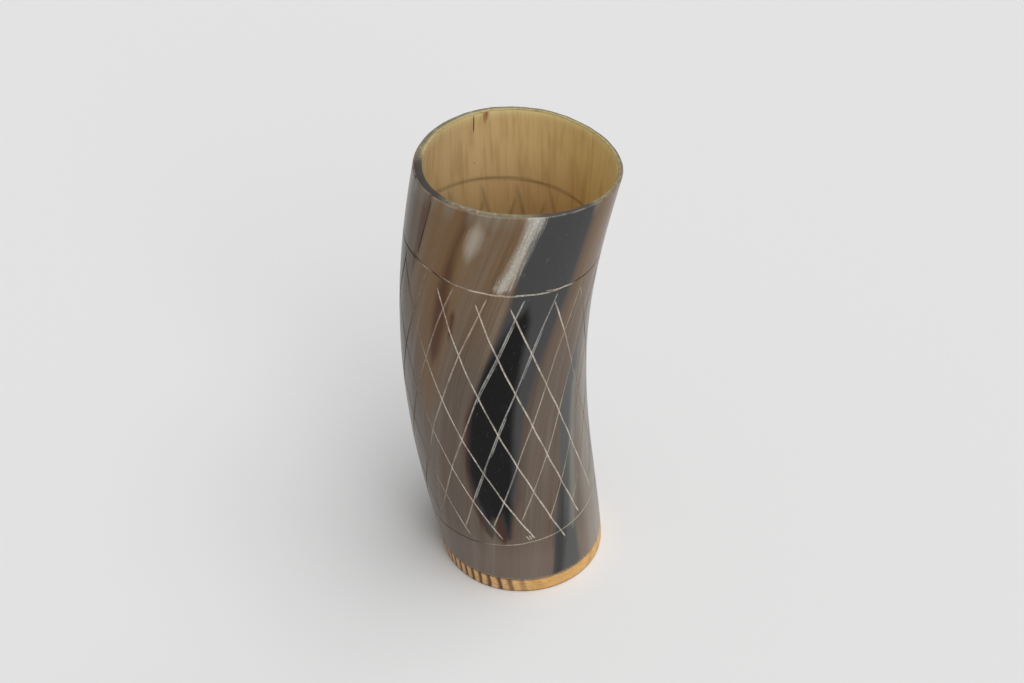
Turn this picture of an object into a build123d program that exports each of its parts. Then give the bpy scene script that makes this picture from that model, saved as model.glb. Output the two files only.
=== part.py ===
from build123d import *
import os
from math import cos, hypot, pi, sin

# A drinking cup cut from a bowed cow horn, closed at its foot by a glued wooden plug.
# Millimetres, +Z up. The origin is the middle of the underside, +X is the side that the
# horn hollows towards and -Y is the front.

# Overall sizes: the height, and the mean radius at five even heights from the foot to the lip
CUP_HEIGHT = 170.0
FOOT_RADIUS = 30.4
QUARTER_RADIUS = 31.7
HALF_RADIUS = 32.15
THREE_QUARTER_RADIUS = 32.65
LIP_RADIUS = 33.1

# The bow, at the same five heights: how far the middle of the horn stands from the middle
# of the foot, along X and along Y
BOW_X = (0.0, -6.0, -9.85, -8.25, -2.4)
BOW_Y = (0.0, -0.45, -0.5, -1.25, -2.35)

# What the horn's level section has there beyond a circle: an oval part and a three-cornered
# part, each with an X share and a Y share
OVAL_X = (0.15, 0.25, 0.0, -0.1, -0.2)
OVAL_Y = (0.25, 0.15, 0.2, -0.1, -0.15)
EGG_X = (0.0, -0.4, -0.3, -0.35, 0.3)
EGG_Y = (0.0, 0.35, 0.6, 0.5, -0.7)

# The wall thins from the foot to the lip, and is thicker on the left and front
FOOT_WALL = 4.0
LIP_WALL = 2.2
WALL_UNEVEN_X = -0.7
WALL_UNEVEN_Y = -0.3

# The hand-sawn rim falls this much across the mouth towards +X. Its edges are worn round,
# each over no more than a third of the thinnest wall
RIM_FALL = 1.8
RIM_ROUNDING = 0.45
RIM_ROUNDING_SHARE = 1 / 3

# The wooden plug: a plate flush with the horn, and a spigot that stands in the bore
PLATE_THICKNESS = 6.8
SPIGOT_HEIGHT = 8.0
SPIGOT_CHAMFER = 0.8
EDGE_EASING = 0.3

# The glue: a film round the spigot, and a bead in the corner over it
GLUE_FILM = 0.4
BEAD_WIDTH = 2.2
BEAD_HEIGHT = 1.8

# Drawing of the lofts
OUTLINE_POINTS = 12
LOFT_LEVELS = 5
SPIGOT_LEVELS = 3
OVERRUN = 5.0

RADIUS = (FOOT_RADIUS, QUARTER_RADIUS, HALF_RADIUS, THREE_QUARTER_RADIUS, LIP_RADIUS)
SPIGOT_TOP = PLATE_THICKNESS + SPIGOT_HEIGHT


def along(stations, z):
    """A size at height z, on the smooth curve through its values at even heights up the cup."""
    place = (len(stations) - 1) * z / CUP_HEIGHT
    size = 0.0
    for i, value in enumerate(stations):
        for j in range(len(stations)):
            if j != i:
                value *= (place - j) / (i - j)
        size += value
    return size


def outer_radius(z, angle):
    """From the middle of the horn to its outside."""
    oval = along(OVAL_X, z) * cos(2 * angle) + along(OVAL_Y, z) * sin(2 * angle)
    egg = along(EGG_X, z) * cos(3 * angle) + along(EGG_Y, z) * sin(3 * angle)
    return along(RADIUS, z) + oval + egg


def wall(z, angle):
    """Thickness of the horn."""
    even = FOOT_WALL + (LIP_WALL - FOOT_WALL) * z / CUP_HEIGHT
    return even + WALL_UNEVEN_X * cos(angle) + WALL_UNEVEN_Y * sin(angle)


def bore_radius(z, angle):
    return outer_radius(z, angle) - wall(z, angle)


def spigot_radius(z, angle):
    return bore_radius(z, angle) - GLUE_FILM


def outline(radius, z, inset=0.0):
    """The horn's level section at height z, as one closed smooth curve."""
    turns = [step / OUTLINE_POINTS for step in range(OUTLINE_POINTS + 1)]
    points = []
    for turn in turns[:-1]:
        angle = 2 * pi * turn
        reach = radius(z, angle) - inset
        points.append((along(BOW_X, z) + reach * cos(angle), along(BOW_Y, z) + reach * sin(angle), z))
    return make_face(Edge.make_spline(points, periodic=True, parameters=turns))


def horn_form(radius, bottom, top, levels=LOFT_LEVELS):
    """A solid through level sections between two heights."""
    step = (top - bottom) / (levels - 1)
    return loft([outline(radius, bottom + step * level) for level in range(levels)])


def make_horn_body(outer, bore):
    """The bowed tube of horn, sawn level at the foot and a little aslant at the rim."""
    rim = Plane(
        origin=(BOW_X[-1], BOW_Y[-1], CUP_HEIGHT),
        z_dir=(RIM_FALL / (2 * LIP_RADIUS), 0, 1),
    )
    tube = split(outer, Plane.XY.offset(PLATE_THICKNESS), keep=Keep.TOP)
    tube = split(tube, rim, keep=Keep.BOTTOM) - bore
    rim_face = tube.faces().sort_by(Axis.Z)[-1]
    thinnest = LIP_WALL - hypot(WALL_UNEVEN_X, WALL_UNEVEN_Y)
    tube = fillet(rim_face.edges(), min(RIM_ROUNDING, RIM_ROUNDING_SHARE * thinnest))
    foot_face = tube.faces().sort_by(Axis.Z)[0]
    return chamfer(foot_face.outer_wire().edges(), EDGE_EASING)


def make_base_plug(outer):
    """The wooden bottom: a plate with the foot's outline and a spigot that fits the bore."""
    plate = split(outer, Plane.XY.offset(PLATE_THICKNESS), keep=Keep.BOTTOM)
    level_faces = plate.faces().filter_by(Plane.XY)
    plate = chamfer(level_faces.edges(), EDGE_EASING)
    spigot = horn_form(spigot_radius, PLATE_THICKNESS, SPIGOT_TOP, SPIGOT_LEVELS)
    spigot = chamfer(spigot.faces().sort_by(Axis.Z)[-1].edges(), SPIGOT_CHAMFER)
    return plate + spigot


def make_glue_seam(bore, plug):
    """The glue that seals the plug: what the bore holds beside the spigot, with a bead on top."""
    bead_top = SPIGOT_TOP + BEAD_HEIGHT
    glue = split(bore, Plane.XY.offset(PLATE_THICKNESS), keep=Keep.TOP)
    glue = split(glue, Plane.XY.offset(bead_top), keep=Keep.BOTTOM)
    hollow = loft([outline(spigot_radius, SPIGOT_TOP, BEAD_WIDTH), outline(spigot_radius, bead_top)])
    return glue - plug - hollow


outer_form = horn_form(outer_radius, 0.0, CUP_HEIGHT + OVERRUN)
bore_form = horn_form(bore_radius, -OVERRUN, CUP_HEIGHT + OVERRUN)

base_plug = make_base_plug(outer_form)
nodes = {
    "horn_body": make_horn_body(outer_form, bore_form),
    "base_plug": base_plug,
    "glue_seam": make_glue_seam(bore_form, base_plug),
}

os.makedirs("parts", exist_ok=True)
for name, solid in nodes.items():
    export_step(solid, f"parts/{name}.step")
    print(name, round(solid.volume / 1000, 2), "cm3", len(solid.solids()), "solid")
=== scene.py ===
from collections import namedtuple
from math import cos, pi, radians, sin

import bmesh
import bpy
import numpy as np
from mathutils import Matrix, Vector
from mathutils.bvhtree import BVHTree
from numpy.polynomial import Polynomial


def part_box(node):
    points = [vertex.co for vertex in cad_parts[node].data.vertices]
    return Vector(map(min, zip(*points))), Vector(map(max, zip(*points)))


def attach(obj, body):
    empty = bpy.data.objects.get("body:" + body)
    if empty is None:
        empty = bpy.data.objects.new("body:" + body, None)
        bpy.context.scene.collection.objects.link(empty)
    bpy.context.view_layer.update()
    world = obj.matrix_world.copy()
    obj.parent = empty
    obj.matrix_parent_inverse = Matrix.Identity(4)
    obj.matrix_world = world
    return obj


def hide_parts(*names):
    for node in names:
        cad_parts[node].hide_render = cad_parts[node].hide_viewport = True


# A drinking cup cut from a bowed cow horn, carved with a lattice between two rings and closed
# by a pine plug. Lengths are millimetres until a mesh is finished. Angles are degrees about
# the horn's middle, anticlockwise from above: 0 is +X, 180 the left and 270 the front.
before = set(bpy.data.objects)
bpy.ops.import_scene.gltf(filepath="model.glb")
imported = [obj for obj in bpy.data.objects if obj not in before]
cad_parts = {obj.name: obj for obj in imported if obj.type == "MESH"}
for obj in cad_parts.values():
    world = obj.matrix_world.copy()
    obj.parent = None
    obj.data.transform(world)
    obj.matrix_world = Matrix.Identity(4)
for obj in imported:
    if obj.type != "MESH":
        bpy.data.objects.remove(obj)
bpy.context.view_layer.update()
MM = 0.001

# How the horn's surface is read off its CAD node: level sections, directions in each, rounds to find
# a section's middle, the distance kept from both ends, the curves fitted, and sectors of the rim
READ_LEVELS = 13
READ_ANGLES = 72
MIDDLE_ROUNDS = 3
READ_MARGIN = 3.0
SHAPE_DEGREE = 4
SHAPE_HARMONICS = 5
RIM_SECTORS = 24

# The flat sheet that becomes the shell: its seam is at the back, and its rows are close together
# where the bore is seen
SEAM_ANGLE = 90.0
MEAN_RADIUS = 32.0
GIRTH = 2 * pi * MEAN_RADIUS
COLUMNS = 300
ROW_STEP = 2.0
SEEN_BORE = 62.0
SEEN_STEP = 0.8
UNSEEN_STEP = 5.0
FOOT_EASING = 0.3
WELD = 0.002
SCORE_MARGIN = 2 * ROW_STEP
SCORE_TOLERANCE = WELD / 10
SHARP_ANGLE = 20.0

# The rim: its share of the sheet, in three equal parts that are round, flat and round, and its wear
RIM_SPAN = 3.0
RIM_PARTS = 3
ROUNDING_ROWS = 6
RIM_ROUNDING = 0.45
RIM_WEAR = 0.06

# The two carved rings: height at the horn's middle, and rise per millimetre along X and Y
LOWER_RING = (27.4, 0.12, 0.019)
UPPER_RING = (142.45, -0.061, 0.038)
RING_WIDTH = 0.7
RING_DEPTH = 0.26

# The lattice strokes seen from the front: angle at the upper ring, angle at the lower ring, and
# the share of the way between the rings where the stroke stops. The rest stand evenly behind
FALLING = [
    (140, 243, 0.03), (165, 267, 0.03), (192, 286.5, 0.015), (227, 304, -0.036),
    (251.6, 323.2, 0.02), (271.3, 344.3, 0.03), (296.7, 364, 0.03),
]
FALLING_BEHIND = 9
FALLING_START = 0.96
FALLING_WIDTH = 0.7
FALLING_DEPTH = 0.26
RISING = [
    (222, 146, 0.05), (242, 168, 0.05), (262.5, 189, 0.04), (283, 210.5, 0.027), (302, 232.5, 0.066),
    (322.5, 252, 0.092), (347, 268, 0.114), (371, 289, 0.086), (398, 307, 0.096),
]
RISING_BEHIND = 7
RISING_START = 0.985
RISING_WIDTH = 0.72
RISING_DEPTH = 0.22
RUN_OUT = 3.0

# Strokes gone over twice: angle at both rings as above, and the shares where the second pass starts
# and stops
SECOND_PASSES = [
    (283, 210.5, 0.9, 0.6), (302, 232.5, 0.86, 0.69), (302, 232.5, 0.55, 0.4), (302, 232.5, 0.34, 0.22),
]
SECOND_ASIDE = 1.05
SECOND_WIDTH = 0.38
SECOND_DEPTH = 0.08

# How the lattice is bent: its strokes bow sideways by degrees between the rings, and sag, most of all
# a quarter of the way up. At the back they also lean and stand steeper near their tops, up to a little
# under the upper ring. The lean is in degrees before the curve near the top scales it down
LATTICE_BEND = 5.5
LATTICE_SAG = 1.8
SAG_POWER = 3
SAG_PEAK = 1 / (1 + SAG_POWER)
STEEP_START = 1.5
STEEP_POWER = 4
BACK_LEAN = 80.0
LATTICE_SPAN = UPPER_RING[0] - STEEP_START - LOWER_RING[0]

# Slips of the knife: angle and height where each starts and ends
SLIPS = [
    ((205, 143.5), (236, 141.9)), ((293, 143.2), (313, 141.9)), ((250, 142.2), (271, 142.7)),
    ((276, 142.8), (296, 142.1)),
    ((279.2, 31.6), (281.2, 29.0)), ((281, 31.8), (282.6, 29.2)), ((282.8, 31.6), (284, 29.5)),
]
SLIP_WIDTH = 0.55
SLIP_DEPTH = 0.18
SLIP_RUN_OUT = 1.0

# Hair cracks that run down from the rim: outside, as angle and height where each starts and ends, and
# in the bore, as angle and depth under the rim
CRACKS_OUTSIDE = [((219.6, 168.6), (215.7, 157.0)), ((216.7, 160.0), (211.8, 145.0))]
CRACK_IN_BORE = ((116.8, -0.4), (115.2, 7.2))
CRACK_WIDTH = 0.8
CRACK_DEPTH = 0.1
CRACK_RUN_OUT = 2.0

# The hand: its uneven pressure along a stroke, as share and radians per millimetre, and how it strays
# sideways in degrees and up and down in millimetres, as size, waves round and radians per millimetre
# up. The rim's wear is uneven in the same way
PRESSURE = ((0.2, 0.9), (0.15, 2.3))
WANDER = ((0.25, 7, 0.11), (0.15, 17, -0.23))
SWAY = ((0.3, 5, 0.05), (0.2, 13, 0.0), (0.1, 31, 0.0))
RIM_WAVES = ((1.0, 9, 0.0), (0.6, 23, 0.0), (0.4, 41, 0.0))

# The carving's shade in the bore: how much wider it is than the cuts, how far it takes to fade out
# downwards, where the wall is thicker, how strong the strokes are beside the rings, and the steps in
# which the strokes' bend is turned back
GHOST_SPREAD = 2.6
GHOST_FADE = 22.0
GHOST_STROKE = 0.75
GHOST_STEPS = 300

# Streaks, as height, middle angle and half width in degrees. A half width of NONE ends a streak. Most
# grew in the horn. The dark ones down the left side and on the rim's left are painted shade, and the
# pale one at the right edge is painted glare
NONE = -9
BLACK = [
    (40, 262, NONE), (50, 264, 12.6), (63, 266.6, 14.7), (88, 271.6, 15.7), (112, 280.7, 15),
    (137, 291.3, 16.5), (165, 297, 16.8),
]
BLACK_TIP_LEFT = [(22, 258, NONE), (32, 257.5, 1), (48, 258, 6.5), (54, 259, 6.5), (64, 260, NONE)]
BLACK_TIP_RIGHT = [(19, 267, NONE), (30, 268.6, 0.8), (48, 271, 5.5), (54, 271, 5), (64, 272, NONE)]
CORE = [
    (34, 262, NONE), (46, 263, 10), (63, 265, 14), (88, 268.5, 13), (112, 275, 9.5), (130, 282, 5),
    (150, 289, NONE),
]
CORE_TIP_LEFT = [(30, 257.5, NONE), (40, 257.8, 2.5), (52, 259, 6), (60, 260, NONE)]
CORE_TIP_RIGHT = [(20, 267.3, NONE), (30, 268.6, 0.8), (44, 270.6, 3.6), (54, 271, 4), (62, 272, NONE)]
FRINGE = [
    (20, 259, NONE), (33, 256.5, 3.6), (45, 251.3, 2.8), (63, 250.6, 2.2), (88, 254.6, 1.6),
    (104, 261, 0), (120, 268, NONE),
]
FRINGE_FORK = [(18, 266, NONE), (31, 264.5, 4.5), (42, 264.5, 4), (54, 264.5, NONE)]
BLUE = [
    (126, 336, NONE), (96, 325.6, 6.3), (82, 321, 7.4), (56, 317.8, 6.4), (30, 307.5, 9.1),
    (7, 305, 11.5),
]
COAL = [(5, 296, 3.5), (17, 300.5, 4.2), (27, 303, 4.5), (37, 307, 3), (50, 310, 2), (60, 313, NONE)]
HAZE = [(112, 337, NONE), (92, 330, 2.6), (70, 325.6, 3), (48, 321, 3), (30, 315, 2), (18, 312, NONE)]
BROWN = [
    (94, 227, NONE), (112, 231, 3.4), (124, 233, 5.4), (138, 234.4, 4.8), (156, 239, 2.2),
    (168, 243.9, 1.6),
]
SMOKE = [(26, 268, NONE), (50, 278, 3), (88, 287.5, 3.4), (112, 296, 4), (137, 308, 4), (165, 314, 4)]
SMOKE_BEHIND = [(10, 28, NONE), (34, 36, 6), (80, 52, 8), (130, 70, 6), (165, 80, 3), (175, 84, NONE)]
BROWN_BEHIND = [(24, 112, NONE), (58, 126, 4), (104, 142, 6), (150, 158, 4), (176, 166, NONE)]
RED = [(106, 240.5, NONE), (121, 241.8, 0.9), (130, 242.9, 1.3), (146, 245, NONE)]
MILKY = [(138, 265, NONE), (143.5, 268.5, 3), (151, 272.8, 2.4), (162, 277.9, 2.2), (168, 280.2, 4)]
CLOUD = [(144, 246, NONE), (157, 248.6, 3), (163, 250, 3.4), (174, 251.5, NONE)]
UMBER = [(120, 203, NONE), (140, 207.5, 1.6), (156, 212.5, 3), (171, 216.5, 3.4)]
# Painted shade down the left side, the side away from the lamps
LEFT_SHADE = [(40, 180, NONE), (70, 185, 8), (110, 190, 11), (145, 194, 11), (160, 197, 10), (171, 199, 9)]
AMBER = [(66, 221, NONE), (90, 224, 7), (110, 228, 11), (130, 229, 15), (150, 231, 17), (171, 234, 17)]
# Painted glare along the right edge
RIGHT_GLARE = [(5, 338, 13), (40, 340, 11), (70, 343, 9), (100, 346, 6), (128, 350, NONE)]
# Painted shade on the rim's left
RIM_SHADE = [(155, 204, NONE), (168, 204, 24), (173, 204, 24)]
RUST = [(163, 108.4, -2), (167, 108.4, 0.8), (172, 108.6, 1.9)]
STREAKS = {
    "black": [BLACK, BLACK_TIP_LEFT, BLACK_TIP_RIGHT],
    "core": [CORE, CORE_TIP_LEFT, CORE_TIP_RIGHT],
    "fringe": [FRINGE, FRINGE_FORK],
    "blue": [BLUE],
    "coal": [COAL],
    "haze": [HAZE],
    "brown": [BROWN, BROWN_BEHIND],
    "red": [RED],
    "milky": [MILKY],
    "cloud": [CLOUD],
    "amber": [AMBER],
    "right_glare": [RIGHT_GLARE],
    "umber": [UMBER],
    "left_shade": [LEFT_SHADE],
    "smoke": [SMOKE, SMOKE_BEHIND],
    "rim_shade": [RIM_SHADE],
    "rust": [RUST],
}

# How far the grain turns round the horn, in degrees per millimetre up
GRAIN_TWIST = 0.33

# The floor's half side in metres. The white room: how strongly it lights the cup, and how bright it is
# where it is seen, about as bright as the floor
FLOOR_SIZE = 4.0
ROOM_LIGHT = 0.29
ROOM_SEEN = 0.765

# One cut of the knife on the flat sheet
Stroke = namedtuple("Stroke", "kind start end width depth run_out")


class HornSurface:
    """The horn's outside, bore and rim, read off its CAD node as smooth functions of angle and height."""

    def __init__(self, node):
        tree = BVHTree.FromObject(node, bpy.context.evaluated_depsgraph_get())
        low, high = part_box(node.name)
        self.foot = low.z / MM
        top = high.z / MM - RIM_SPAN
        heights = np.linspace(self.foot + READ_MARGIN, top - READ_MARGIN, READ_LEVELS)
        middles = [self.cast_middle(tree, z) for z in heights]
        self.middle_x = Polynomial.fit(heights, [m.x for m in middles], SHAPE_DEGREE)
        self.middle_y = Polynomial.fit(heights, [m.y for m in middles], SHAPE_DEGREE)
        smooth = [Vector((self.middle_x(z), self.middle_y(z), z)) for z in heights]
        walls = np.array([self.cast_walls(tree, middle) for middle in smooth])
        self.bore_parts = self.fit_parts(heights, walls[:, 0])
        self.outer_parts = self.fit_parts(heights, walls[:, 1])
        self.rim_plane = self.fit_rim(node)
        self.rim_row = self.rim_plane[0]
        self.bore_row = self.rim_row + RIM_SPAN

    @staticmethod
    def directions():
        """Level directions all round, evenly."""
        return [Vector((cos(a), sin(a), 0)) for a in 2 * pi * np.arange(READ_ANGLES) / READ_ANGLES]

    def cast_walls(self, tree, middle):
        """Distances from a point in the middle to the bore and to the outside, all round."""
        bore, outer = [], []
        for way in self.directions():
            inner_hit = tree.ray_cast(middle * MM, way)[3]
            start = middle * MM + way * (inner_hit + WELD * MM)
            bore.append(inner_hit / MM)
            outer.append(bore[-1] + WELD + tree.ray_cast(start, way)[3] / MM)
        return bore, outer

    def cast_middle(self, tree, height):
        """The middle of the level section at a height, from the section's own points."""
        middle = Vector((0, 0, height))
        for _ in range(MIDDLE_ROUNDS):
            outer = self.cast_walls(tree, middle)[1]
            shift = Vector((0, 0, 0))
            for way, reach in zip(self.directions(), outer):
                shift += way * reach * 2 / READ_ANGLES
            middle = middle + shift
        return middle

    @staticmethod
    def fit_parts(heights, reaches):
        """Round, oval and egg-shaped parts of a section, each as a curve over the height."""
        angles = 2 * pi * np.arange(READ_ANGLES) / READ_ANGLES
        parts = []
        for k in range(SHAPE_HARMONICS):
            share = (1 if k == 0 else 2) / READ_ANGLES
            cosine = Polynomial.fit(heights, reaches @ np.cos(k * angles) * share, SHAPE_DEGREE)
            sine = Polynomial.fit(heights, reaches @ np.sin(k * angles) * share, SHAPE_DEGREE)
            parts.append((cosine, sine))
        return parts

    @staticmethod
    def fit_rim(node):
        """The sawn rim as a plane: its height, and its rise along X and along Y."""
        points = np.array([v.co for v in node.data.vertices]) / MM
        points = points[points[:, 2] > points[:, 2].max() - RIM_SPAN]
        x, y = (points[:, :2] - points[:, :2].mean(0)).T
        sector = np.floor((np.arctan2(y, x) / (2 * pi) + 0.5) * RIM_SECTORS)
        tops = [points[sector == s][points[sector == s][:, 2].argmax()] for s in np.unique(sector)]
        sides = np.array([(1, p[0], p[1]) for p in tops])
        return np.linalg.lstsq(sides, np.array([p[2] for p in tops]), rcond=None)[0]

    @staticmethod
    def reach(parts, angle, height):
        """Distance from the middle to a wall: the sum of the section's parts."""
        turn = np.radians(angle)
        total = 0
        for k, (cosine, sine) in enumerate(parts):
            wave = cosine(height) * np.cos(k * turn) + sine(height) * np.sin(k * turn)
            total = total + wave
        return total

    def outer(self, angle, height):
        return self.reach(self.outer_parts, angle, height)

    def bore(self, angle, height):
        return self.reach(self.bore_parts, angle, height)

    def point(self, angle, height, reach):
        turn = np.radians(angle)
        x = self.middle_x(height) + reach * np.cos(turn)
        y = self.middle_y(height) + reach * np.sin(turn)
        return np.stack([x, y, height + 0 * reach], axis=-1)

    def rim(self, angle):
        """Height of the sawn rim."""
        top = self.rim_plane[0]
        edge = self.point(angle, top, MEAN_RADIUS + 0 * angle)
        return top + self.rim_plane[1] * edge[:, 0] + self.rim_plane[2] * edge[:, 1]

    def ring(self, angle, ring):
        """Height of a carved ring."""
        middle, along_x, along_y = ring
        turn = np.radians(angle)
        return middle + MEAN_RADIUS * (along_x * np.cos(turn) + along_y * np.sin(turn))


def all_round(strokes, behind):
    """Adds the strokes at the back, evenly from the last one seen to the first."""
    first = np.array(strokes[0]) + (360, 360, 0)
    last = np.array(strokes[-1])
    return strokes + [tuple(last + (first - last) * (i + 1) / (behind + 1)) for i in range(behind)]


def on_sheet(angle, height):
    return np.array(((angle - SEAM_ANGLE) / 360 * GIRTH, height))


def lattice_stroke(kind, top, foot, start, stop, width, depth):
    """One stroke of the lattice, from its angles at both rings and the shares where it starts and stops."""
    lower, upper = LOWER_RING[0], UPPER_RING[0]
    ends = []
    for share in (start, stop):
        ends.append(on_sheet(foot + (top - foot) * share, lower + (upper - lower) * share))
    return Stroke(kind, *ends, width, depth, RUN_OUT)


def all_strokes(horn):
    """Every straight cut and crack on the flat sheet, with copies past the seam."""
    strokes = []
    families = (
        ("falling", FALLING, FALLING_BEHIND, FALLING_START, FALLING_WIDTH, FALLING_DEPTH),
        ("rising", RISING, RISING_BEHIND, RISING_START, RISING_WIDTH, RISING_DEPTH),
    )
    for kind, seen, behind, start, width, depth in families:
        for top, foot, stop in all_round(seen, behind):
            strokes.append(lattice_stroke(kind, top, foot, start, stop, width, depth))
    for top, foot, start, stop in SECOND_PASSES:
        top, foot = top + SECOND_ASIDE, foot + SECOND_ASIDE
        strokes.append(lattice_stroke("rising", top, foot, start, stop, SECOND_WIDTH, SECOND_DEPTH))
    bore_ends = [(angle, horn.bore_row + under_rim) for angle, under_rim in CRACK_IN_BORE]
    others = (
        ("slip", SLIPS, SLIP_WIDTH, SLIP_DEPTH, SLIP_RUN_OUT),
        ("crack", CRACKS_OUTSIDE + [bore_ends], CRACK_WIDTH, CRACK_DEPTH, CRACK_RUN_OUT),
    )
    for kind, places, width, depth, run_out in others:
        for start, end in places:
            strokes.append(Stroke(kind, on_sheet(*start), on_sheet(*end), width, depth, run_out))
    copies = []
    for turn in (-1, 0, 1):
        shift = np.array((turn * GIRTH, 0))
        for stroke in strokes:
            start, end = stroke.start + shift, stroke.end + shift
            if min(start[0], end[0]) < GIRTH and max(start[0], end[0]) > 0:
                copies.append(stroke._replace(start=start, end=end))
    return copies


def sheet_rows(horn):
    """Stations along the shell's profile: up the outside, over the rim, down the bore, and two more
    for the eased edge under the foot."""
    half = RING_WIDTH / 2
    edges = [horn.foot + FOOT_EASING]
    for middle in (LOWER_RING[0], UPPER_RING[0]):
        edges += [middle - half, middle, middle + half]
    edges.append(horn.rim_row)
    rows = []
    for low, high in zip(edges[:-1], edges[1:]):
        steps = max(1, round((high - low) / ROW_STEP))
        rows += list(np.linspace(low, high, steps, endpoint=False))
    rows += list(np.linspace(horn.rim_row, horn.bore_row, RIM_PARTS * ROUNDING_ROWS, endpoint=False))
    unseen = horn.bore_row + SEEN_BORE
    lowest = horn.bore_row + horn.rim_row - horn.foot
    rows += list(np.arange(horn.bore_row, unseen, SEEN_STEP))
    rows += list(np.linspace(unseen, lowest, round((lowest - unseen) / UNSEEN_STEP)))
    return rows + [lowest + 1, lowest + 2]


def score(bm, stroke):
    """Cuts the sheet along both sides and the middle of a stroke."""
    along = Vector((*(stroke.end - stroke.start), 0))
    length = along.length
    along.normalize()
    across = Vector((-along.y, along.x, 0))
    origin = Vector((*stroke.start, 0))
    faces = []
    for face in bm.faces:
        away = face.calc_center_median() - origin
        beside = abs(away.dot(across)) < SCORE_MARGIN
        if beside and -ROW_STEP < away.dot(along) < length + ROW_STEP:
            faces.append(face)
    geom = faces + list({e for f in faces for e in f.edges}) + list({v for f in faces for v in f.verts})
    for side in (-0.5, 0, 0.5):
        on_line = origin + across * stroke.width * side
        cut = bmesh.ops.bisect_plane(
            bm, geom=geom, dist=SCORE_TOLERANCE, plane_co=on_line, plane_no=across
        )
        geom = cut["geom"]


def carve(x, y, strokes, widen=1.0):
    """Depth of the carving on the flat sheet, and each kind's share of its full depth: a V across each
    stroke and ring that runs out at its ends. Widened, it is the shade that shows through the wall."""
    depth = np.zeros_like(x)
    kinds = ("falling", "rising", "slip", "crack", "lower_ring", "upper_ring")
    shares = {kind: np.zeros_like(x) for kind in kinds}
    for stroke in strokes:
        length = np.linalg.norm(stroke.end - stroke.start)
        along = (stroke.end - stroke.start) / length
        off_x, off_y = x - stroke.start[0], y - stroke.start[1]
        way = off_x * along[0] + off_y * along[1]
        aside = np.abs(off_y * along[0] - off_x * along[1])
        ends = np.sqrt(np.clip(np.minimum(way, length - way) / stroke.run_out, 0, 1))
        groove = np.clip(1 - aside / (widen * stroke.width / 2), 0, 1) * ends
        uneven = 1 + sum(size * np.sin(pace * way + stroke.start[0]) for size, pace in PRESSURE)
        depth = np.maximum(depth, stroke.depth * uneven * groove)
        shares[stroke.kind] = np.maximum(shares[stroke.kind], groove)
    for kind, ring in (("lower_ring", LOWER_RING), ("upper_ring", UPPER_RING)):
        shares[kind] = np.clip(1 - np.abs(y - ring[0]) / (widen * RING_WIDTH / 2), 0, 1)
        depth = np.maximum(depth, RING_DEPTH * shares[kind])
    return depth, shares


def streak_margin(angle, height, points):
    """How far inside a streak a place lies, in millimetres. Outside it is below nothing."""
    heights, middles, halves = zip(*sorted(points))
    middle = np.interp(height, heights, middles)
    half = np.interp(height, heights, halves)
    away = np.abs((angle - middle + 180) % 360 - 180)
    return np.radians(half - away) * MEAN_RADIUS


def scored_sheet(horn, rows, strokes):
    """The flat sheet: a grid as wide as the girth and as long as the profile, cut along every stroke.
    Its faces are polished up to the rim's outer rounding, sawn on the rim and scraped in the bore."""
    bm = bmesh.new()
    bmesh.ops.create_grid(bm, x_segments=COLUMNS, y_segments=len(rows) - 1, size=1)
    for v in bm.verts:
        row = round((v.co.y + 1) / 2 * (len(rows) - 1))
        v.co = ((v.co.x + 1) / 2 * GIRTH, rows[row], 0)
    for stroke in strokes:
        score(bm, stroke)
    bm.verts.index_update()
    for f in bm.faces:
        past_rim = f.calc_center_median().y - horn.rim_row
        f.material_index = 0 if past_rim < RIM_SPAN / RIM_PARTS else 1 if past_rim < RIM_SPAN else 2
        f.smooth = True
    return bm


def waves(parts, turn, rise=0):
    """A sum of waves round the horn, each as size, number round and radians per millimetre up."""
    return sum(size * np.sin(number * turn + lean * rise) for size, number, lean in parts)


def at_back(angle):
    """1 in the middle of the back, fading to 0 at both sides."""
    return np.maximum(np.sin(np.radians(angle)), 0) ** 2


def up_lattice(row):
    """How far up the lattice a row lies, as a share, and a curve that peaks near the lattice's top."""
    share = np.clip((row - LOWER_RING[0]) / LATTICE_SPAN, 0, 1)
    return share, share ** STEEP_POWER * (1 - share)


def bend(row, angle):
    """How far the lattice strokes bow sideways between the rings, in degrees."""
    share, near_top = up_lattice(row)
    return LATTICE_BEND * np.sin(pi * share) - at_back(angle) * BACK_LEAN * near_top


def settle(row, angle):
    """Lowers the lattice's rows: a little in its lower half all round, and near its top at the back."""
    share, near_top = up_lattice(row)
    sag = LATTICE_SAG * share * (1 - share) ** SAG_POWER / (SAG_PEAK * (1 - SAG_PEAK) ** SAG_POWER)
    return row - sag - at_back(angle) * LATTICE_SPAN * near_top


def over_rim(horn, angle, rim, over):
    """Height and reach across the rim, from the parts of it passed: round, flat and round again."""
    first = np.clip(over, 0, 1) * pi / 2
    last = np.clip(RIM_PARTS - over, 0, 1) * pi / 2
    across = np.clip(over - 1, 0, 1)
    outer_edge = horn.outer(angle, rim) - RIM_ROUNDING
    bore_edge = horn.bore(angle, rim) + RIM_ROUNDING
    reach = outer_edge * (1 - across) + bore_edge * across + RIM_ROUNDING * (np.cos(first) - np.cos(last))
    height = rim - RIM_ROUNDING * (2 - np.sin(first) - np.sin(last))
    return height, reach


def up_outside(horn, angle, row, rim, sway):
    """Height up the outside, where the rows of the two rings follow the rings' slants."""
    stations = [
        (horn.foot, horn.foot), (LOWER_RING[0], horn.ring(angle, LOWER_RING) + sway),
        (UPPER_RING[0], horn.ring(angle, UPPER_RING) + sway), (horn.rim_row, rim - RIM_ROUNDING),
    ]
    height = np.full_like(row, horn.foot)
    for (low_row, low), (high_row, high) in zip(stations[:-1], stations[1:]):
        share = (row - low_row) / (high_row - low_row)
        height = np.where(row >= low_row, low + (high - low) * share, height)
    return height


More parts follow.
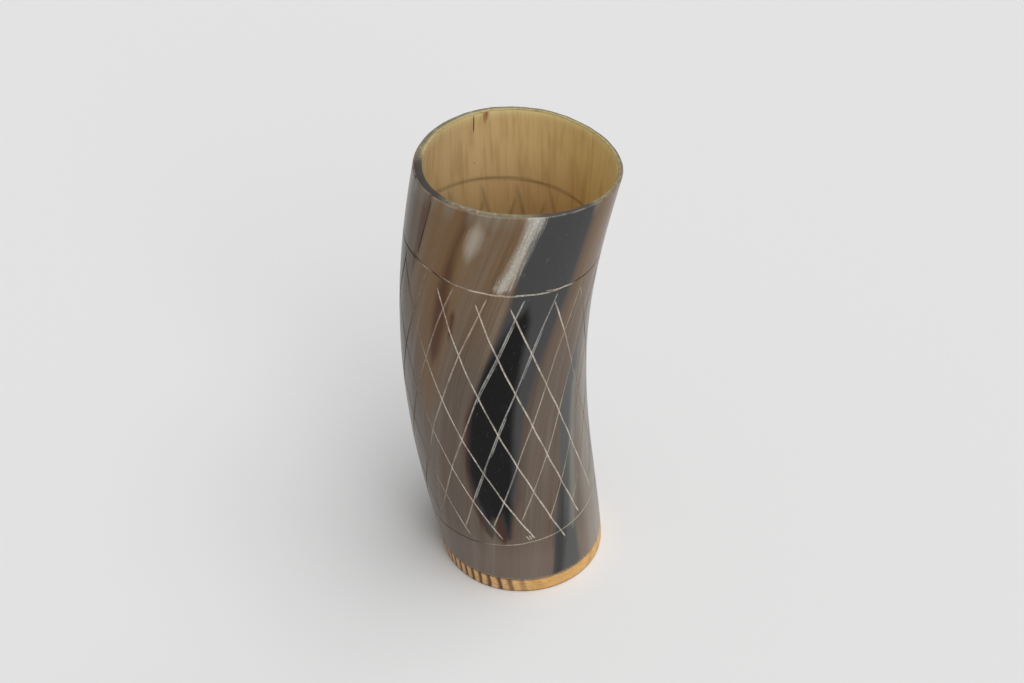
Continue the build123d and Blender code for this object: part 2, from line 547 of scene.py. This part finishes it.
def wrap(horn, across, row, depth, rows):
    """Angle, height and reach on the horn of every place on the flat sheet."""
    turn = np.radians(SEAM_ANGLE + across / GIRTH * 360)
    length = horn.rim_row - horn.foot
    unsteady = np.sin(pi * np.clip((row - horn.foot) / length, 0, 1))
    angle = np.degrees(turn) + bend(row, np.degrees(turn)) + unsteady * waves(WANDER, turn, row)
    even_wear = sum(size for size, number, lean in RIM_WAVES)
    rim = horn.rim(angle) - RIM_WEAR * (even_wear + waves(RIM_WAVES, turn))
    outside = up_outside(horn, angle, settle(row, angle), rim, unsteady * waves(SWAY, turn, row))
    down = np.clip((row - horn.bore_row) / length, 0, 1)
    bore = (rim - RIM_ROUNDING) * (1 - down) + horn.foot * down
    eased = horn.foot + FOOT_EASING
    foot_reach = horn.outer(angle, eased)
    rim_part = RIM_PARTS * (row - horn.rim_row) / RIM_SPAN
    spans = [
        (row >= rows[0], outside, horn.outer(angle, outside) - depth),
        (row > horn.rim_row, *over_rim(horn, angle, rim, rim_part)),
        (row >= horn.bore_row, bore, horn.bore(angle, bore) + depth),
        (row > rows[-3], horn.foot, foot_reach - FOOT_EASING),
        (row > rows[-2], eased, foot_reach),
        (row <= rows[0], eased, foot_reach),
    ]
    height, reach = np.zeros_like(row), np.zeros_like(row)
    for where, span_height, span_reach in spans:
        height = np.where(where, span_height, height)
        reach = np.where(where, span_reach, reach)
    return angle, height, reach


def ghosts(horn, across, angle, height, strokes):
    """How much the carving outside shades the bore behind it."""
    lower, upper = horn.ring(angle, LOWER_RING), horn.ring(angle, UPPER_RING)
    lowered = LOWER_RING[0] + (height - lower) / (upper - lower) * (UPPER_RING[0] - LOWER_RING[0])
    ladder = np.linspace(LOWER_RING[0], UPPER_RING[0], GHOST_STEPS)
    raised = np.interp(lowered, settle(ladder, SEAM_ANGLE), ladder)
    inside = (lowered > ladder[0]) & (lowered < ladder[-1])
    row = np.where(inside, lowered + at_back(angle) * (raised - lowered), lowered)
    shares = carve(across - bend(row, angle) / 360 * GIRTH, row, strokes, GHOST_SPREAD)[1]
    rings = np.maximum(shares["lower_ring"], shares["upper_ring"])
    return np.maximum(rings, GHOST_STROKE * np.maximum(shares["falling"], shares["rising"]))


def paint(bm, angle, height, values):
    """Stores what the finishes read: the grain's own coordinates, the named values, and a UV map."""
    straight = np.radians(angle - GRAIN_TWIST * height)
    grain = np.stack([MEAN_RADIUS * np.cos(straight), MEAN_RADIUS * np.sin(straight), height], axis=-1) * MM
    grain_layer = bm.verts.layers.float_vector.new("grain")
    layers = {name: bm.verts.layers.float.new(name) for name in values}
    sheet = bm.loops.layers.uv.new("sheet")
    for i, v in enumerate(bm.verts):
        v[grain_layer] = grain[i]
        for name, layer in layers.items():
            v[layer] = values[name][i]
    for f in bm.faces:
        for loop in f.loops:
            i = loop.vert.index
            loop[sheet].uv = ((angle[i] - SEAM_ANGLE) / 360, height[i] / height.max())


def horn_shell(horn, finishes):
    """The carved horn: one flat sheet, scored with every stroke, then wrapped round the horn."""
    rows = sheet_rows(horn)
    strokes = all_strokes(horn)
    bm = scored_sheet(horn, rows, strokes)
    across, row = np.array([(v.co.x, v.co.y) for v in bm.verts]).T
    depth, shares = carve(across, row, strokes)
    angle, height, reach = wrap(horn, across, row, depth, rows)

    values = {}
    for name, parts in STREAKS.items():
        values[name] = np.max([streak_margin(angle, height, points) for points in parts], axis=0)
    values.update(shares)
    seen = np.clip((horn.bore_row + SEEN_BORE - row) / GHOST_FADE, 0, 1) * (row >= horn.bore_row)
    values["ghost"] = seen * ghosts(horn, across, angle, height, strokes)
    values["inward"] = np.where(row > horn.bore_row, 0, np.clip((row - horn.rim_row) / RIM_SPAN, 0, 1))
    paint(bm, angle, height, values)

    for v, place in zip(bm.verts, horn.point(angle, height, reach)):
        v.co = place * MM
    bmesh.ops.remove_doubles(bm, verts=bm.verts, dist=WELD * MM)
    mesh = bpy.data.meshes.new("carved_horn")
    bm.to_mesh(mesh)
    bm.free()
    mesh.set_sharp_from_angle(angle=radians(SHARP_ANGLE))
    for finish in finishes:
        mesh.materials.append(finish)
    shell = bpy.data.objects.new("carved_horn", mesh)
    bpy.context.scene.collection.objects.link(shell)
    return shell


def colour(code):
    """An sRGB hex colour as linear light."""
    parts = [int(code[i:i + 2], 16) / 255 for i in (1, 3, 5)]
    return [p / 12.92 if p <= 0.04045 else ((p + 0.055) / 1.055) ** 2.4 for p in parts] + [1]


def add(tree, kind, values, out=0, **settings):
    """Adds a node, with its settings, and its inputs set or linked. Gives one of its outputs."""
    node = tree.nodes.new(kind)
    for name, setting in settings.items():
        setattr(node, name, setting)
    for key, value in values.items():
        if isinstance(value, bpy.types.NodeSocket):
            tree.links.new(value, node.inputs[key])
        else:
            node.inputs[key].default_value = value
    return node.outputs[out]


def new_finish(name):
    """An empty material and its node tree."""
    finish = bpy.data.materials.new(name)
    finish.use_nodes = True
    finish.node_tree.nodes.clear()
    return finish, finish.node_tree


def close_finish(tree, values):
    """Ends a material in one plain shader."""
    shader = add(tree, "ShaderNodeBsdfPrincipled", values)
    surface = tree.nodes.new("ShaderNodeOutputMaterial").inputs["Surface"]
    tree.links.new(shader, surface)


def grain_noise(tree, width, length, detail=3.0):
    """Noise drawn out along the grain, from the width and length of its streaks in millimetres."""
    grain = add(tree, "ShaderNodeAttribute", {}, "Vector", attribute_name="grain")
    drawn = add(tree, "ShaderNodeMapping", {"Vector": grain, "Scale": (1, 1, width / length)})
    scale = 1 / (width * MM)
    return add(tree, "ShaderNodeTexNoise", {"Vector": drawn, "Scale": scale, "Detail": detail}, "Fac")


def streak_mask(tree, name, fray, soft, ragged):
    """Where a streak is, from its margin: soft across its edge and frayed by noise, both in millimetres."""
    margin = add(tree, "ShaderNodeAttribute", {}, "Fac", attribute_name=name)
    off = add(tree, "ShaderNodeMath", {0: fray, 1: 0.5}, operation="SUBTRACT")
    frayed = add(tree, "ShaderNodeMath", {0: off, 1: 2 * ragged, 2: margin}, operation="MULTIPLY_ADD")
    edge = {"Value": frayed, "From Min": -soft, "From Max": soft}
    return add(tree, "ShaderNodeMapRange", edge, interpolation_type="SMOOTHSTEP")


def lay_tints(tree, body, tints):
    """Lays tints over a body colour. For each: the mask that it stays in, or None, the value that it
    follows, the values where it starts and is full, how much of it shows there, and its colour."""
    for where, value, none, full, weight, tone in tints:
        ramp = {"Value": value, "From Min": none, "From Max": full, "To Max": weight}
        share = add(tree, "ShaderNodeMapRange", ramp)
        if where is not None:
            share = add(tree, "ShaderNodeMath", {0: share, 1: where}, operation="MULTIPLY")
        body = add(tree, "ShaderNodeMix", {0: share, 6: body, 7: colour(tone)}, 2, data_type="RGBA")
    return body


def lay_dust_and_painted_light(tree, body, masks, specks, height):
    """Fills the cuts with dust, with light and shade painted on it. Between two angles it is painted pale
    as if lit, on falling strokes further round to the right towards the foot. Elsewhere the cuts are
    painted dark as if in shade. Gives the body colour and how deep in a cut each place is."""
    sheet = add(tree, "ShaderNodeUVMap", {}, uv_map="sheet")
    turn = add(tree, "ShaderNodeSeparateXYZ", {0: sheet}, "X")
    grit = add(tree, "ShaderNodeMapRange", {"Value": specks, "From Min": 0.3, "From Max": 0.6})
    scratched = add(
        tree, "ShaderNodeMix",
        {0: masks["black"], 6: colour("#c0b4a4"), 7: colour("#b9b7b1")}, 2, data_type="RGBA",
    )
    # The cuts' painted shade, where they are not painted as lit
    shaded = add(
        tree, "ShaderNodeMix", {0: grit, 6: colour("#1c150f"), 7: colour("#584a3a")}, 2, data_type="RGBA"
    )
    patchy = grain_noise(tree, 5, 7, 2.0)
    patchy = add(
        tree, "ShaderNodeMapRange", {"Value": patchy, "From Min": 0.38, "From Max": 0.56, "To Min": 0.62}
    )
    near_foot = add(
        tree, "ShaderNodeMapRange", {"Value": height, "From Min": 100 * MM, "From Max": 40 * MM}
    )

    # Each kind of cut: the dust's colour, how much of it there is at least and how much more as grit, the
    # first and last angle painted as lit, the degrees over which that fades, and the degrees added near the
    # foot
    cuts = (
        ("lower_ring", colour("#c0b6a4"), 0.4, 0.5, 256, 346, 12, 0),
        ("upper_ring", colour("#c6bdae"), 0.35, 0.55, 218, 304, 10, 0),
        ("slip", colour("#d6cbb2"), 0.5, 0.5, 248, 306, 10, 0),
        ("rising", scratched, 0.48, 0.42, 232, 312, 30, 0),
        ("falling", colour("#ddd4c4"), 0.45, 0.55, 236, 310, 34, 34),
        ("crack", colour("#38251a"), 0.85, 0.1, 200, 230, 8, 0),
    )
    cut = 0.0
    for kind, tone, least, rough, first, last, fade, more in cuts:
        share = add(tree, "ShaderNodeAttribute", {}, "Fac", attribute_name=kind)
        share = add(tree, "ShaderNodeMapRange", {"Value": share, "From Min": 0.1, "From Max": 0.48})
        cut = add(tree, "ShaderNodeMath", {0: cut, 1: share}, operation="MAXIMUM")
        middle = ((first + last) / 2 - SEAM_ANGLE) / 360
        half = (last - first) / 2 / 360
        wider = add(tree, "ShaderNodeMath", {0: near_foot, 1: more / 2 / 360}, operation="MULTIPLY")
        away = add(tree, "ShaderNodeMath", {0: turn, 1: middle}, operation="SUBTRACT")
        away = add(tree, "ShaderNodeMath", {0: away, 1: wider}, operation="SUBTRACT")
        away = add(tree, "ShaderNodeMath", {0: away}, operation="ABSOLUTE")
        away = add(tree, "ShaderNodeMath", {0: away, 1: wider}, operation="SUBTRACT")
        unlit = add(
            tree, "ShaderNodeMapRange", {"Value": away, "From Min": half, "From Max": half + fade / 360}
        )
        dust_lit_or_shaded = add(tree, "ShaderNodeMix", {0: unlit, 6: tone, 7: shaded}, 2, data_type="RGBA")
        dust_and_shade_share = add(tree, "ShaderNodeMath", {0: grit, 1: rough, 2: least}, operation="MULTIPLY_ADD")
        dust_and_shade_share = add(tree, "ShaderNodeMath", {0: dust_and_shade_share, 1: patchy}, operation="MULTIPLY")
        dust_and_shade_share = add(tree, "ShaderNodeMath", {0: dust_and_shade_share, 1: unlit}, operation="MAXIMUM")
        dust_and_shade_share = add(tree, "ShaderNodeMath", {0: dust_and_shade_share, 1: share}, operation="MULTIPLY")
        body = add(tree, "ShaderNodeMix", {0: dust_and_shade_share, 6: body, 7: dust_lit_or_shaded}, 2, data_type="RGBA")
    return body, cut


def polished_horn():
    """Cow horn, scraped and polished: soft streaks of brown, black and grey grown along a twisted grain, a
    smooth gloss, worn edges, and cuts that hold pale dust. Light and shade are painted on it too: shade
    down the left side, glare at the right edge, a sheen under the rim, and cuts pale where lit and dark
    elsewhere."""
    finish, tree = new_finish("polished_horn")
    broad = grain_noise(tree, 7, 110)
    soft = grain_noise(tree, 4, 90)
    fibres = grain_noise(tree, 1.1, 45)
    hairs = grain_noise(tree, 0.6, 60)
    fine = grain_noise(tree, 0.45, 12)
    specks = grain_noise(tree, 0.5, 0.9, 2.0)
    scuffs = grain_noise(tree, 1.2, 4, 6.0)
    place = add(tree, "ShaderNodeTexCoord", {}, "Object")
    height = add(tree, "ShaderNodeSeparateXYZ", {0: place}, "Z")

    # The horn's own brown: warmer at the top, greyer at the foot, with dark and pale lines along the grain
    body = add(
        tree, "ShaderNodeMix", {0: broad, 6: colour("#5d5046"), 7: colour("#74675b")}, 2, data_type="RGBA"
    )
    body = lay_tints(tree, body, (
        (None, height, 105 * MM, 152 * MM, 0.85, "#7b6245"),
        (None, soft, 0.48, 0.34, 0.3, "#6a4632"),
        (None, soft, 0.52, 0.68, 0.3, "#8d857c"),
        (None, fibres, 0.45, 0.3, 0.22, "#4a3c32"),
        (None, hairs, 0.42, 0.3, 0.3, "#4c3a2e"),
        (None, hairs, 0.6, 0.72, 0.25, "#94897b"),
        (None, height, 32 * MM, 18 * MM, 0.4, "#87796f"),
    ))

    # The streaks: what frays each, how soft and how ragged its edge is, its colour and how much it covers
    streaks = (
        # The dark streak down the left side is painted shade
        ("left_shade", soft, 3.0, 2.0, "#3e2d19", 0.76),
        ("amber", soft, 4.0, 2.0, "#84643f", 0.5),
        ("umber", fibres, 1.2, 1.2, "#4a2f1d", 0.75),
        ("brown", broad, 1.8, 2.4, "#50311f", 0.8),
        ("red", fibres, 0.9, 0.9, "#4c2418", 0.9),
        ("fringe", fibres, 1.5, 1.2, "#452a20", 0.9),
        ("blue", fibres, 1.4, 1.2, "#515453", 0.9),
        ("coal", fibres, 1.8, 1.6, "#2b2725", 0.7),
        ("haze", fibres, 1.8, 1.6, "#908f84", 0.55),
        ("smoke", fibres, 2.4, 1.2, "#4b433d", 0.7),
        ("black", broad, 1.0, 1.2, "#464646", 1.0),
        ("core", broad, 1.6, 1.6, "#0d0d0d", 0.96),
        ("milky", fine, 2.2, 2.0, "#cbc7bc", 0.8),
        ("cloud", fibres, 2.6, 1.8, "#b9b1a3", 0.7),
        # The pale streak at the right edge is painted glare
        ("right_glare", soft, 4.0, 2.0, "#a09a8e", 0.45),
    )
    masks = {}
    for name, fray, edge, ragged, tone, weight in streaks:
        masks[name] = streak_mask(tree, name, fray, edge, ragged)
        share = add(tree, "ShaderNodeMath", {0: masks[name], 1: weight}, operation="MULTIPLY")
        body = add(tree, "ShaderNodeMix", {0: share, 6: body, 7: colour(tone)}, 2, data_type="RGBA")

    # Pale wear: specks all over, flecks on the milky streak, scuffs on the black one, the rounded rim and
    # the edge at the foot. The pale band under the rim, kept off the black streak, is a painted sheen
    inward = add(tree, "ShaderNodeAttribute", {}, "Fac", attribute_name="inward")
    rim_edge = add(tree, "ShaderNodeMapRange", {"Value": inward, "From Max": 0.2})
    sheen_and_worn_rim = add(
        tree, "ShaderNodeMapRange",
        {"Value": height, "From Min": 164 * MM, "From Max": 169 * MM, "To Max": 0.6},
    )
    pale = add(tree, "ShaderNodeMath", {0: 1.0, 1: masks["black"]}, operation="SUBTRACT")
    sheen_and_worn_rim = add(tree, "ShaderNodeMath", {0: sheen_and_worn_rim, 1: pale}, operation="MULTIPLY")
    sheen_and_worn_rim = add(tree, "ShaderNodeMath", {0: sheen_and_worn_rim, 1: rim_edge}, operation="MAXIMUM")
    foot_edge = add(
        tree, "ShaderNodeMapRange", {"Value": height, "From Min": 7.9 * MM, "From Max": 7.2 * MM}
    )
    body = lay_tints(tree, body, (
        (None, specks, 0.7, 0.82, 0.3, "#9a948b"),
        (masks["milky"], specks, 0.5, 0.7, 0.6, "#e4e1da"),
        (masks["black"], scuffs, 0.64, 0.78, 0.2, "#8c8b88"),
        (sheen_and_worn_rim, soft, 0.4, 0.6, 0.6, "#8f8a7d"),
        (foot_edge, fine, 0.35, 0.55, 0.6, "#a39c94"),
    ))
    body, cut = lay_dust_and_painted_light(tree, body, masks, specks, height)

    gloss = add(tree, "ShaderNodeMapRange", {"Value": fibres, "To Min": 0.18, "To Max": 0.28})
    gloss = add(tree, "ShaderNodeMix", {0: cut, 2: gloss, 3: 0.75}, data_type="FLOAT")
    ripple = add(tree, "ShaderNodeBump", {"Height": fibres, "Strength": 0.2, "Distance": 0.03 * MM})
    close_finish(tree, {
        "Base Color": body, "Roughness": gloss, "IOR": 1.54, "Specular IOR Level": 0.1, "Normal": ripple,
    })
    return finish


def sawn_horn():
    """The rim: sawn horn, sanded and worn smooth, greyer than the polished side, darker on its outer half,
    with painted shade on the left, yellowish on the right, golden on its inner half at the back."""
    finish, tree = new_finish("sawn_horn")
    place = add(tree, "ShaderNodeTexCoord", {}, "Object")
    patches = add(
        tree, "ShaderNodeTexNoise", {"Vector": place, "Scale": 1 / (7 * MM), "Detail": 3.0}, "Fac"
    )
    grit = add(
        tree, "ShaderNodeTexNoise", {"Vector": place, "Scale": 1 / (1.4 * MM), "Detail": 3.0}, "Fac"
    )
    rightward = add(tree, "ShaderNodeSeparateXYZ", {0: place}, "X")
    backward = add(tree, "ShaderNodeSeparateXYZ", {0: place}, "Y")
    backward = add(
        tree, "ShaderNodeMapRange", {"Value": backward, "From Min": -30 * MM, "From Max": 5 * MM}
    )
    inward = add(tree, "ShaderNodeAttribute", {}, "Fac", attribute_name="inward")
    golden = add(tree, "ShaderNodeMath", {0: inward, 1: backward}, operation="MULTIPLY")

    body = add(
        tree, "ShaderNodeMix",
        {0: patches, 6: colour("#675d4b"), 7: colour("#978e72")}, 2, data_type="RGBA",
    )
    body = lay_tints(tree, body, (
        (None, rightward, 8 * MM, 28 * MM, 0.6, "#857e5e"),
        (None, inward, 0.62, 0.45, 0.5, "#605543"),
        (None, golden, 0.5, 0.7, 0.75, "#bba86f"),
        (None, grit, 0.46, 0.32, 0.4, "#4c463d"),
        (None, grit, 0.53, 0.68, 0.4, "#bab29c"),
    ))
    # Painted shade on the rim's left, and the black streak's own colour where it reaches the rim
    for name, edge, tone, weight in (("rim_shade", 5.0, "#252122", 0.9), ("black", 2.0, "#3b3733", 0.9)):
        shade = streak_mask(tree, name, patches, edge, 3.0)
        shade = add(tree, "ShaderNodeMath", {0: shade, 1: weight}, operation="MULTIPLY")
        body = add(tree, "ShaderNodeMix", {0: shade, 6: body, 7: colour(tone)}, 2, data_type="RGBA")
    rough = add(tree, "ShaderNodeMapRange", {"Value": grit, "To Min": 0.35, "To Max": 0.55})
    bump = add(tree, "ShaderNodeBump", {"Height": grit, "Strength": 0.3, "Distance": 0.05 * MM})
    close_finish(tree, {
        "Base Color": body, "Roughness": rough, "IOR": 1.54, "Specular IOR Level": 0.2, "Normal": bump,
    })
    return finish


def scraped_horn():
    """The bore: horn scraped clean, pale gold with soft streaks along the grain, with a painted band of
    light just under the rim and painted shade further down. Light comes through its thin wall, and the
    carving and the black streak outside are painted on it as a faint shade."""
    finish, tree = new_finish("scraped_horn")
    broad = grain_noise(tree, 6, 160)
    soft = grain_noise(tree, 3, 18)
    fibres = grain_noise(tree, 0.9, 30)
    fine = grain_noise(tree, 0.45, 12)
    place = add(tree, "ShaderNodeTexCoord", {}, "Object")
    height = add(tree, "ShaderNodeSeparateXYZ", {0: place}, "Z")
    knots = add(
        tree, "ShaderNodeTexNoise", {"Vector": place, "Scale": 1 / (3 * MM), "Detail": 1.0}, "Fac"
    )
    ghost = add(tree, "ShaderNodeAttribute", {}, "Fac", attribute_name="ghost")
    crack = add(tree, "ShaderNodeAttribute", {}, "Fac", attribute_name="crack")
    black = streak_mask(tree, "black", broad, 3.0, 1.2)
    rust = streak_mask(tree, "rust", fine, 0.8, 0.8)

    body = add(
        tree, "ShaderNodeMix", {0: broad, 6: colour("#d1b788"), 7: colour("#dfc99b")}, 2, data_type="RGBA"
    )
    body = lay_tints(tree, body, (
        (None, soft, 0.5, 0.32, 0.3, "#a58a58"),
        (None, soft, 0.52, 0.7, 0.3, "#d8c89a"),
        (None, fibres, 0.45, 0.3, 0.25, "#a1854f"),
        (None, fibres, 0.55, 0.7, 0.25, "#e0cda0"),
        (None, knots, 0.77, 0.83, 0.5, "#6b5230"),
        # A painted band of light just under the rim, and painted shade further down the bore
        (None, height, 166 * MM, 169 * MM, 0.4, "#e2d8b0"),
        (None, height, 158 * MM, 128 * MM, 0.3, "#8a6c40"),
        (None, black, 0.0, 1.0, 0.5, "#7d6a47"),
        (None, ghost, 0.0, 1.0, 0.6, "#6d5536"),
        (None, crack, 0.25, 0.75, 0.9, "#4a3216"),
    ))
    body = add(tree, "ShaderNodeMix", {0: rust, 6: body, 7: colour("#94552a")}, 2, data_type="RGBA")
    rough = add(tree, "ShaderNodeMapRange", {"Value": fibres, "To Min": 0.4, "To Max": 0.6})
    close_finish(tree, {
        "Base Color": body, "Roughness": rough, "IOR": 1.54, "Specular IOR Level": 0.25,
        "Subsurface Weight": 0.8, "Subsurface Radius": (1.0, 0.9, 0.65), "Subsurface Scale": 5 * MM,
    })
    return finish


def oiled_pine():
    """Pine, sanded and oiled: pale spring wood and brown summer wood in rings that are cut across on the
    left, plain golden side grain with short flecks on the right, grime along the top edge where the horn
    meets it, and painted shade along the bottom edge and underneath."""
    finish, tree = new_finish("oiled_pine")
    place = add(tree, "ShaderNodeTexCoord", {}, "Object")
    rightward = add(tree, "ShaderNodeSeparateXYZ", {0: place}, "X")
    height = add(tree, "ShaderNodeSeparateXYZ", {0: place}, "Z")

    # Year rings, evenly apart along one direction. They waver by up to about a ring, over 22 mm, and each
    # darkens slowly and ends sharply
    outward = (0.566, -0.824, 0.03)
    ring_gap = 3.06 * MM
    first_ring = 0.93
    unevenness = 1.2
    waver = add(tree, "ShaderNodeTexNoise", {"Vector": place, "Scale": 1 / (22 * MM), "Detail": 2.0}, "Fac")
    rings = add(tree, "ShaderNodeVectorMath", {0: place, 1: outward}, "Value", operation="DOT_PRODUCT")
    rings = add(tree, "ShaderNodeMath", {0: rings, 1: 1 / ring_gap}, operation="MULTIPLY")
    rings = add(tree, "ShaderNodeMath", {0: rings, 1: first_ring}, operation="ADD")
    rings = add(tree, "ShaderNodeMath", {0: waver, 1: unevenness, 2: rings}, operation="MULTIPLY_ADD")
    season = add(tree, "ShaderNodeMath", {0: rings}, operation="FRACT")
    summer = add(
        tree, "ShaderNodeMapRange",
        {"Value": season, "From Min": 0.33, "From Max": 0.72}, interpolation_type="SMOOTHSTEP",
    )
    ended = add(tree, "ShaderNodeMapRange", {"Value": season, "From Min": 1.0, "From Max": 0.88})
    end_cut = add(
        tree, "ShaderNodeMapRange",
        {"Value": rightward, "From Min": -7 * MM, "From Max": 5 * MM, "To Min": 1.0, "To Max": 0.15},
    )
    summer = add(tree, "ShaderNodeMath", {0: summer, 1: ended}, operation="MULTIPLY")
    summer = add(tree, "ShaderNodeMath", {0: summer, 1: end_cut}, operation="MULTIPLY")

    plain = add(
        tree, "ShaderNodeMapRange", {"Value": rightward, "From Min": 0.5 * MM, "From Max": 4 * MM}
    )
    body = add(
        tree, "ShaderNodeMix", {0: plain, 6: colour("#dfb273"), 7: colour("#e2ae62")}, 2, data_type="RGBA"
    )
    body = add(tree, "ShaderNodeMix", {0: summer, 6: body, 7: colour("#6b3f1d")}, 2, data_type="RGBA")
    drawn = add(tree, "ShaderNodeMapping", {"Vector": place, "Scale": (0.2, 0.2, 1)})
    flecks = add(
        tree, "ShaderNodeTexNoise", {"Vector": drawn, "Scale": 1 / (0.5 * MM), "Detail": 3.0}, "Fac"
    )
    flecks = add(
        tree, "ShaderNodeMapRange",
        {"Value": flecks, "From Min": 0.3, "From Max": 0.7, "To Min": 0.68, "To Max": 1.16},
    )
    flecked = {0: 1.0, 6: body, 7: flecks}
    body = add(tree, "ShaderNodeMix", flecked, 2, data_type="RGBA", blend_type="MULTIPLY")
    # Grime along the top edge, and painted shade along the bottom edge and underneath, where it stands
    upper = add(tree, "ShaderNodeMapRange", {"Value": height, "From Min": 6.2 * MM, "From Max": 6.6 * MM})
    lower = add(tree, "ShaderNodeMapRange", {"Value": height, "From Min": 1.0 * MM, "From Max": 0.4 * MM})
    grime_and_shade = add(tree, "ShaderNodeMath", {0: upper, 1: lower}, operation="MAXIMUM")
    grime_and_shade = add(tree, "ShaderNodeMath", {0: grime_and_shade, 1: 0.65}, operation="MULTIPLY")
    body = add(tree, "ShaderNodeMix", {0: grime_and_shade, 6: body, 7: colour("#4a2f17")}, 2, data_type="RGBA")
    bump = add(tree, "ShaderNodeBump", {"Height": summer, "Strength": 0.3, "Distance": 0.08 * MM})
    close_finish(tree, {"Base Color": body, "Roughness": 0.5, "IOR": 1.5, "Normal": bump})
    return finish


def set_resin():
    """Glue that has set: clear amber resin, smooth and uneven in tone."""
    finish, tree = new_finish("set_resin")
    place = add(tree, "ShaderNodeTexCoord", {}, "Object")
    cloudy = add(
        tree, "ShaderNodeTexNoise", {"Vector": place, "Scale": 1 / (3 * MM), "Detail": 3.0}, "Fac"
    )
    body = add(
        tree, "ShaderNodeMix",
        {0: cloudy, 6: colour("#6f4f2b"), 7: colour("#9c7743")}, 2, data_type="RGBA",
    )
    close_finish(tree, {"Base Color": body, "Roughness": 0.25, "IOR": 1.5})
    return finish


def white_paper():
    """The floor: matt white paper."""
    finish, tree = new_finish("white_paper")
    close_finish(tree, {"Base Color": colour("#dfdfdf"), "Roughness": 0.9, "Specular IOR Level": 0.1})
    return finish


def dress(node, finish):
    """Gives a CAD node its finish."""
    node.data.materials.clear()
    node.data.materials.append(finish)


def make_floor():
    bm = bmesh.new()
    bmesh.ops.create_grid(bm, x_segments=1, y_segments=1, size=FLOOR_SIZE)
    mesh = bpy.data.meshes.new("floor")
    bm.to_mesh(mesh)
    bm.free()
    mesh.materials.append(white_paper())
    floor = bpy.data.objects.new("floor", mesh)
    bpy.context.scene.collection.objects.link(floor)


def make_camera():
    """A 50 mm lens, looking down at the cup from the front."""
    target = Vector((-4.04, 0, 95.2)) * MM
    tilt = radians(38.95)
    distance = 493 * MM
    lens = bpy.data.cameras.new("camera")
    lens.lens = 50
    lens.sensor_width = 36
    lens.clip_start = 0.01
    camera = bpy.data.objects.new("camera", lens)
    camera.location = target + distance * Vector((0, -cos(tilt), sin(tilt)))
    camera.rotation_euler = (pi / 2 - tilt, 0, 0)
    bpy.context.scene.collection.objects.link(camera)
    bpy.context.scene.camera = camera


def make_light():
    """A white room with three soft lamps, so far off that they light the floor evenly: one high on the
    right, one in front and one at the back. Only what is seen of the room is bright, because the lamps do
    most of the lighting."""
    world = bpy.data.worlds.new("white_room")
    world.use_nodes = True
    tree = world.node_tree
    rays = add(tree, "ShaderNodeLightPath", {}).node.outputs
    seen = rays["Is Camera Ray"]
    for kind in ("Is Glossy Ray", "Is Transmission Ray"):
        seen = add(tree, "ShaderNodeMath", {0: seen, 1: rays[kind]}, operation="MAXIMUM")
    glow = add(tree, "ShaderNodeMapRange", {"Value": seen, "To Min": ROOM_LIGHT, "To Max": ROOM_SEEN})
    background = tree.nodes["Background"].inputs
    background["Color"].default_value = (1, 1, 1, 1)
    tree.links.new(glow, background["Strength"])
    bpy.context.scene.world = world

    # Each lamp: the direction it shines from, how many degrees of the sky it fills, and its strength
    lamps = (
        ("right_lamp", (0.36, -0.2, 1.21), 46, 1.82),
        ("front_lamp", (0.4, -1.0, 0.77), 38, 0.84),
        ("back_lamp", (0.8, 0.95, 0.82), 37, 0.24),
    )
    for name, place, spread, strength in lamps:
        light = bpy.data.lights.new(name, "SUN")
        light.angle = radians(spread)
        light.energy = strength
        lamp = bpy.data.objects.new(name, light)
        lamp.location = place
        lamp.rotation_euler = lamp.location.to_track_quat("Z", "Y").to_euler()
        bpy.context.scene.collection.objects.link(lamp)


horn = HornSurface(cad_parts["horn_body"])
shell = horn_shell(horn, [polished_horn(), sawn_horn(), scraped_horn()])
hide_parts("horn_body")
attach(shell, "root")
dress(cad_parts["base_plug"], oiled_pine())
dress(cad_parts["glue_seam"], set_resin())
make_floor()
make_camera()
make_light()
bpy.context.scene.view_settings.view_transform = "Standard"
